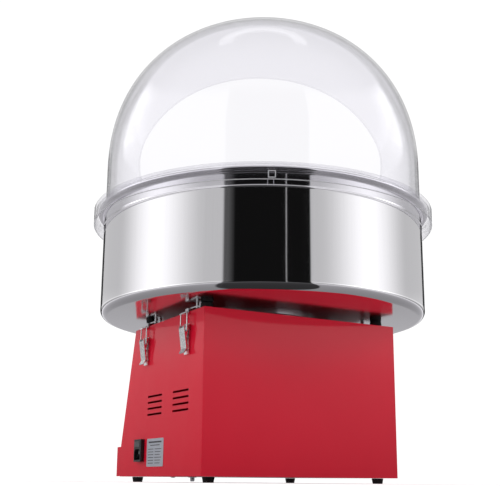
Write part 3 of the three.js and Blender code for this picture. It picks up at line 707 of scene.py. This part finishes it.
# ---------------------------------------------------------------- spinner head
def spinner_head():
    low, high = span("head_base")
    outer, floor = high.x, low.z
    base = fillet([
        (6.3, floor), (outer - 5, floor), (outer, floor + 4), (outer, floor + 10), (outer - 1.6, floor + 10),
        (outer - 1.6, floor + 5), (outer - 6, floor + 3), (12, floor + 3), (12, high.z), (6.3, high.z),
    ], 1.2, 4)
    bottom_half = mesh_from("spinner_base", *turned(base, 160))
    finish_piece(bottom_half, CAST, "spinner", ["head_base"], 50)

    low, high = span("head_cap")
    foot, top, mouth = low.z, high.z, 30.0
    band_top = top - 12
    profile = fillet([
        (outer - 1.6, foot), (outer, foot), (outer, band_top), (outer - 9, band_top + 5.5), (mouth + 4, top),
        (mouth, top), (mouth, top - 14), (mouth + 1.6, top - 14), (mouth + 1.6, top - 2),
        (outer - 9.6, band_top + 4), (outer - 1.6, band_top - 1),
    ], 1.2, 3)
    cap = mesh_from("spinner_cap", *turned(profile, 240))
    points, faces = [], []
    count = 60
    for i in range(count):
        a = (i + 0.5) * 2 * math.pi / count
        c, s = math.cos(a), math.sin(a)
        outline = [(x * c - y * s, x * s + y * c) for x, y in box_outline(outer - 6, outer + 4, -1.15, 1.15)]
        slot_points, slot_faces = prism(outline, foot + 4, band_top - 4)
        faces += [tuple(len(points) + k for k in face) for face in slot_faces]
        points += slot_points
    slots = mesh_from("slots", points, faces)
    finish_piece(cut_away(cap, slots), CAST, "spinner", ["head_cap"], 50)

    low, high = span("heater_ring")
    z = high.z - 3.6
    tube = arc(50, z, 3.4, 0, 330, 11)
    element = mesh_from("heater_element", *turned(tube, 128))
    finish_piece(element, COPPER, "spinner", ["heater_ring"], 60)
    for i in range(3):
        a = i / 3 * 2 * math.pi
        place = Matrix.Translation(Vector((50 * math.cos(a), 50 * math.sin(a), 0)) * MM)
        post = fillet([(0, low.z), (2.4, low.z), (2.0, z), (0, z)], 0.5)
        finish_piece(mesh_from(f"heater_post_{i}", *turned(post, 24), place), WHITE, "spinner")


# ---------------------------------------------------------------- bowl
def bowl():
    low, high = span("bowl_pan")
    bottom, rim_top = low.z, high.z
    wall, thick, corner, hole = 250.0, 1.5, 11.0, 22.0
    rim_r, roll = high.x - 2.8, 2.8
    rim_z = rim_top - roll
    inner = wall - thick
    bead = bottom + 140.2
    profile = [
        (hole, bottom), *arc(wall - corner, bottom + corner, corner, -90, 0, 12),
        (wall, bottom + 12), (wall, bead - 2), (wall, bead - 1.4), (wall + 0.35, bead - 0.8),
        (wall + 0.5, bead), (wall + 0.35, bead + 0.8), (wall, bead + 1.4), (wall, bead + 2),
        (wall, rim_z - 5.4), (wall, rim_z - 4.8), (wall + 0.8, rim_z - 3.4), (wall + 2.6, rim_z - 2.9),
        *arc(rim_r, rim_z, roll, -125, 95, 16),
        (wall + 1.4, rim_top - 0.3), (inner + 1, rim_top - 1.6), (inner, rim_top - 4),
        *arc(inner - corner + thick, bottom + corner, corner - thick, 0, -90, 12),
        (hole, bottom + thick),
    ]
    pan = mesh_from("steel_bowl", *turned(profile, 256))
    finish_piece(pan, BOWL, "cabinet", ["bowl_pan"], 50)
    low, high = span("bowl_hub_ring")
    ring = fillet([(74.2, low.z), (high.x, low.z), (high.x, high.z), (74.2, high.z)], 0.6)
    hub = mesh_from("hub_ring", *turned(ring, 128))
    finish_piece(hub, BOWL, "cabinet", ["bowl_hub_ring"], 50)


# ---------------------------------------------------------------- latches
def latches():
    for side, sign in (("right", 1), ("left", -1)):
        for end in ("front", "rear"):
            tag = f"{end}_{side}"
            keep_node(f"latch_base_{tag}", LATCH, 0.25)
            keep_node(f"latch_lever_{tag}", LATCH, 0.3, 3)
            keep_node(f"latch_catch_{tag}", LATCH, 0.25)
            x, y, z = Vector(JOINTS[f"bail_{tag}_swing"]["pos_m"]) / MM
            top = span(f"latch_bail_{tag}")[1].z - 1.1
            path = [
                (x, y - 6.9, z), (x, y - 10.8, z), (x, y - 10, top),
                (x, y + 10, top), (x, y + 10.8, z), (x, y + 6.9, z),
            ]
            wire = rod(f"bail_wire_{tag}", path, 1.1, 1.9)
            finish_piece(wire, LATCH, f"bail_{tag}", [f"latch_bail_{tag}"])
            low, high = span(f"latch_base_{tag}")
            wall_x = (low.x if sign > 0 else high.x) + sign * 1.2
            outward = Matrix.Rotation(sign * math.pi / 2, 4, "Y")
            for k, rivet_z in enumerate((low.z + 6, low.z + 22)):
                head = [(0, 0), (2.2, 0), (2.0, 0.7), (1.3, 1.2), (0, 1.4)]
                place = Matrix.Translation(Vector((wall_x, y, rivet_z)) * MM) @ outward
                piece = mesh_from(f"latch_rivet_{tag}_{k}", *turned(head, 24), place)
                finish_piece(piece, LATCH, "cabinet", smooth=50)


# ---------------------------------------------------------------- dome
def dome():
    low, high = span("dome")
    skirt, bottom, top = high.x, low.z, high.z
    wall, thick, power = 248.6, 3.0, 2.2
    flange_top, flange_under = 411.8, 408.8
    shoulder, rise = 478.7, top - 478.7

    def crown(inset, steps):
        out = []
        for i in range(steps + 1):
            t = i / steps * math.pi / 2
            r = (wall - inset) * max(math.cos(t), 0) ** (2 / power)
            z = shoulder + (rise - inset) * math.sin(t) ** (2 / power)
            out.append((0.0 if i == steps else r, z))
        return out

    profile = [
        *arc(skirt - 1.5, bottom + 1.2, 1.2, -150, -10, 4),
        *arc(skirt - 2.6, flange_top - 2.6, 2.6, 0, 90, 6),
        (wall + 5, flange_top), (wall + 2.2, flange_top + 0.8), (wall + 0.6, flange_top + 3),
        (wall, flange_top + 6),
        *crown(0, 44), *crown(thick, 44)[::-1],
        (wall - thick, flange_under + 4), (wall - thick + 1, flange_under + 1), (wall, flange_under),
        (skirt - thick - 1.2, flange_under), (skirt - thick, flange_under - 1.4),
    ]
    shell = mesh_from("clear_dome", *turned(profile, 256))
    # The opening is an upright cut at this depth, with a quarter circle below it that runs out to the front.
    depth, arch, arch_z = 103, 140, 593
    beyond, above = 450, 800
    curve = arc(depth + arch, arch_z, arch, -180, -90, 28)
    outline = [(beyond, above), (depth, above), *curve, (beyond, arch_z - arch)]
    opening_turn = -28.4
    towards = Matrix.Rotation(math.radians(opening_turn - 90), 4, "Z") @ Matrix.Rotation(math.pi / 2, 4, "X")
    cutter = mesh_from("arch", *prism(outline, -320, 320), towards)
    clear = finish_piece(cut_away(shell, cutter), CLEAR, "dome_shell", ["dome"], 40)
    for edge in (CUT_EDGE, MOULDED_EDGE):
        clear.data.materials.append(edge)
    to_arch = towards.inverted()
    for face in clear.data.polygons:
        u, v, _ = to_arch @ face.center / MM
        on_face = v > arch_z and abs(u - depth) < 0.1
        on_curve = v <= arch_z and abs(math.hypot(u - depth - arch, v - arch_z) - arch) < 0.6
        if face.center.z < (bottom + 1.4) * MM:
            face.material_index = 2
        elif (on_face or on_curve) and abs((to_arch.to_3x3() @ face.normal).z) < 0.05:
            face.material_index = 1
    tab_turn = math.radians(27.6)
    place = (
        Matrix.Rotation(-tab_turn, 4, "Z") @ Matrix.Translation(Vector((0, skirt + 0.3, bottom + 7)) * MM)
        @ Matrix.Rotation(-math.pi / 2, 4, "X")
    )
    rim = fillet(box_outline(-5.3, 5.3, -5.2, 5.2), 1)
    window = fillet(box_outline(-3.9, 3.9, -3.8, 3.8), 0.6)
    tab = plate("dome_tab", rim, [window], 1.0, place)
    finish_piece(tab, MOULDED_EDGE, "dome_shell")


# ---------------------------------------------------------------- studio
def turn_from_camera(g, x, y):
    """The angle round Z from the camera's side, and how far a direction points towards the camera."""
    c, s = math.cos(CAMERA_AZIMUTH), math.sin(CAMERA_AZIMUTH)
    ahead = g.math("ADD", g.math("MULTIPLY", x, s), g.math("MULTIPLY", y, c))
    aside = g.math("SUBTRACT", g.math("MULTIPLY", x, c), g.math("MULTIPLY", y, s))
    return g.math("ARCTAN2", aside, ahead), ahead


# The lights' directions round the machine, from the camera's side. They are rounded from where the bowl in the
# photograph mirrors its lights.
GAP_LEFT, GAP_RIGHT = math.radians(-32), math.radians(26)  # the unlit gap round the camera
GAP_GREY = 0.01
BOX_LEVEL, FILL_LEVEL = 0.7, 0.6
BOX_AIM, BOX_HALF_WIDTH = math.radians(78), math.radians(42)
FLAG_AIM, FLAG_HALF_WIDTH = math.radians(157), math.radians(5)
SLIVER_AIM, SLIVER_HALF_WIDTH = math.radians(-16), math.radians(0.35)
RAMP_START, RAMP_END = math.radians(92), math.radians(108)  # where the overhead light grows brighter
BACK_EDGE = math.radians(121)  # where the overhead light ends


def gap_light(g, turn):
    """One outside the gap, and almost nothing in it, with a little spill at its right."""
    edge = math.radians(1)
    left = g.remap(turn, 1.0, 0.0, GAP_LEFT - edge, GAP_LEFT)
    right = g.remap(turn, 0.0, 1.0, GAP_RIGHT - edge, GAP_RIGHT + edge)
    spill = g.remap(turn, 0.0, 0.16, GAP_RIGHT - 8 * edge, GAP_RIGHT - 3 * edge)
    spill = g.math("MULTIPLY", spill, g.math("GREATER_THAN", turn, 0.0))
    lit = g.math("MAXIMUM", g.math("MAXIMUM", left, right), spill)
    return g.math("MAXIMUM", lit, GAP_GREY)


def studio():
    bpy.ops.mesh.primitive_plane_add(size=40, location=(0, 0, 0))
    floor = bpy.context.object
    floor.name = "studio_floor"
    material, g = new_material("studio_floor")
    at = object_coordinates(g)
    distance = g.add("ShaderNodeVectorMath", {0: at}, operation="LENGTH").outputs["Value"]
    # Painted shade: for every ray but the camera's, the floor is painted darker and glows less near the
    # machine. The share ramps up from 0.35 m to 1.1 m away and stands in for the machine's shadow.
    away = g.remap(distance, 0.0, 1.0, 0.35, 1.1)
    path = g.add("ShaderNodeLightPath").outputs
    bright = g.math("MAXIMUM", away, path["Is Camera Ray"])
    diffuse = g.add("ShaderNodeBsdfDiffuse", {"Color": g.tint(bright, (0.6, 0.6, 0.61), (0.88, 0.88, 0.88))})
    glow = g.add("ShaderNodeEmission", {"Color": (1, 1, 1, 1), "Strength": g.math("MULTIPLY", bright, 0.42)})
    pale = g.add("ShaderNodeAddShader", {0: diffuse.outputs[0], 1: glow.outputs[0]})
    x, y, _ = g.add("ShaderNodeSeparateXYZ", {0: at}).outputs
    turn, _ = turn_from_camera(g, x, y)
    # Painted reflection: glossy rays see the floor as a flat emission instead. It is painted dim near the
    # machine as painted shade, and dimmer on the camera's side where the lights leave their gap.
    painted_shade_falloff = g.remap(distance, 0.28, 1.0, 0.3, 5.0)
    painted_reflection_level = g.math("MULTIPLY", g.math("MAXIMUM", gap_light(g, turn), 0.12), painted_shade_falloff)
    painted_floor_reflection = g.add("ShaderNodeEmission", {"Color": (0.97, 0.96, 1, 1), "Strength": painted_reflection_level})
    seen = {0: path["Is Glossy Ray"], 1: pale.outputs[0], 2: painted_floor_reflection.outputs[0]}
    g.end(g.add("ShaderNodeMixShader", seen).outputs[0])
    floor.data.materials.append(material)

    world = bpy.data.worlds.new("studio")
    bpy.context.scene.world = world
    world.use_nodes = True
    g = Graph(world.node_tree)
    split = g.add("ShaderNodeSeparateXYZ", {0: g.add("ShaderNodeTexCoord").outputs["Generated"]})
    x, y, z = split.outputs
    turn, ahead = turn_from_camera(g, x, y)
    aside = g.math("ABSOLUTE", turn)
    # A soft box on each side, a black flag behind each one, and a thin sliver of light in the gap.
    boxes = g.math("ADD", g.math("MULTIPLY", g.hump(aside, BOX_AIM, BOX_HALF_WIDTH), BOX_LEVEL), FILL_LEVEL)
    flag = g.math("LESS_THAN", g.math("ABSOLUTE", g.math("SUBTRACT", aside, FLAG_AIM)), FLAG_HALF_WIDTH)
    boxes = g.blend(boxes, 0.03, flag)
    gap = gap_light(g, turn)
    near_table = g.remap(z, 0.4, 1.0, 0.0, 0.12)
    lip = g.math("MULTIPLY", g.hump(z, 0.16, 0.05), 0.6)
    lower = g.math("MULTIPLY", g.math("MULTIPLY", boxes, gap), g.math("ADD", near_table, lip))
    beside = g.math("ABSOLUTE", g.math("SUBTRACT", turn, SLIVER_AIM))
    sliver = g.math("LESS_THAN", beside, SLIVER_HALF_WIDTH)
    lower = g.math("ADD", lower, g.math("MULTIPLY", sliver, 0.4))
    # Above them an overhead light, brightest at its back edge, and a softer ceiling with one bright strip.
    overhead = g.remap(aside, 1.45, 2.4, RAMP_START, RAMP_END)
    overhead = g.blend(overhead, 0.55, g.math("GREATER_THAN", aside, BACK_EDGE))
    overhead = g.math("MULTIPLY", overhead, g.math("MAXIMUM", gap, 0.05))
    strip = g.math("LESS_THAN", g.math("ABSOLUTE", g.math("SUBTRACT", z, 0.965)), 0.013)
    strip = g.math("MULTIPLY", strip, g.math("LESS_THAN", ahead, 0.0))
    ceiling = g.math("ADD", strip, 0.6)
    level = g.blend(lower, overhead, g.remap(z, 0.0, 1.0, 0.345, 0.37))
    level = g.blend(level, ceiling, g.remap(z, 0.0, 1.0, 0.60, 0.68))
    light = g.add("ShaderNodeBackground", {"Color": (1, 1, 1.01, 1), "Strength": level})
    plain = g.add("ShaderNodeBackground", {"Color": (1, 1, 1, 1), "Strength": 1.06})
    seen = g.add("ShaderNodeLightPath").outputs["Is Camera Ray"]
    mixed = g.add("ShaderNodeMixShader", {0: seen, 1: light.outputs[0], 2: plain.outputs[0]})
    g.end(mixed.outputs[0], "ShaderNodeOutputWorld")
    bpy.context.scene.view_settings.view_transform = "Standard"


CAMERA_AZIMUTH = math.radians(30.22)  # from the rear, towards the inlet's side


def camera():
    """Behind the machine at counter height, looking up at it."""
    distance, height = 1.36437, 0.003
    heading = CAMERA_AZIMUTH + math.pi + math.radians(-0.99)
    rise, roll = math.radians(13.38), math.radians(0.44)
    ahead = Vector((math.sin(heading) * math.cos(rise), math.cos(heading) * math.cos(rise), math.sin(rise)))
    right = ahead.cross(Vector((0, 0, 1))).normalized()
    up = right.cross(ahead)
    right, up = right * math.cos(roll) + up * math.sin(roll), up * math.cos(roll) - right * math.sin(roll)
    data = bpy.data.cameras.new("camera")
    data.lens, data.sensor_width = 63.83, 36
    data.shift_x, data.shift_y = 0.0053, 0.0398
    data.clip_start = 0.01
    eye = bpy.data.objects.new("camera", data)
    bpy.context.scene.collection.objects.link(eye)
    at = Vector((distance * math.sin(CAMERA_AZIMUTH), distance * math.cos(CAMERA_AZIMUTH), height))
    eye.matrix_world = Matrix.Translation(at) @ Matrix((right, up, -ahead)).transposed().to_4x4()
    bpy.context.scene.camera = eye


cabinet()
feet_and_pads()
voltmeter()
switches()
heat_knob()
inlet()
rating_label()
drawer()
drive()
spinner_head()
bowl()
latches()
dome()
studio()
camera()
